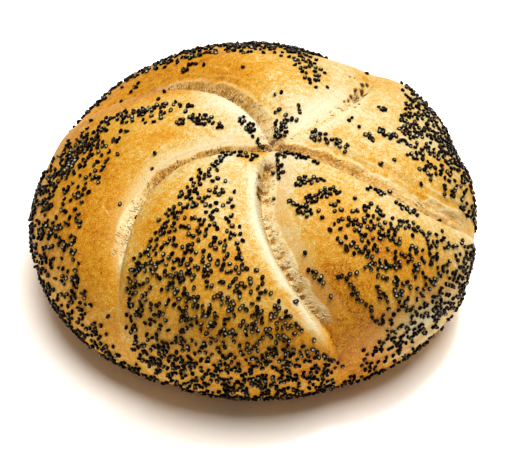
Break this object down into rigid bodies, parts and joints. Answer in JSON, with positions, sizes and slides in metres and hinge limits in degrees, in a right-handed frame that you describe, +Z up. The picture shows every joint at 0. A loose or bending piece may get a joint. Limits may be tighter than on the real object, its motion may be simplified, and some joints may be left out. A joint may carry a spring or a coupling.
{
  "type": "bread roll",
  "caption": "Round kaiser bread roll with swirled petals of crust, curved grooves that meet off centre, a flat base and a poppy-seed topping.",
  "frame": {"origin": "middle of the flat base that the roll rests on", "axes": "+Z straight up from the base; +X and +Y in the plane of the base, with the point where the grooves meet lying off the middle towards +X and -Y"},
  "size_m": [0.0929, 0.0959, 0.0402],
  "materials": {
    "baked_crust": "baked bread crust, dull with a soft sheen",
    "poppy_seed": "pitted blue-black seed coat"
  },
  "bodies": {
    "root": {"roll": "baked_crust"}
  },
  "joints": []
}
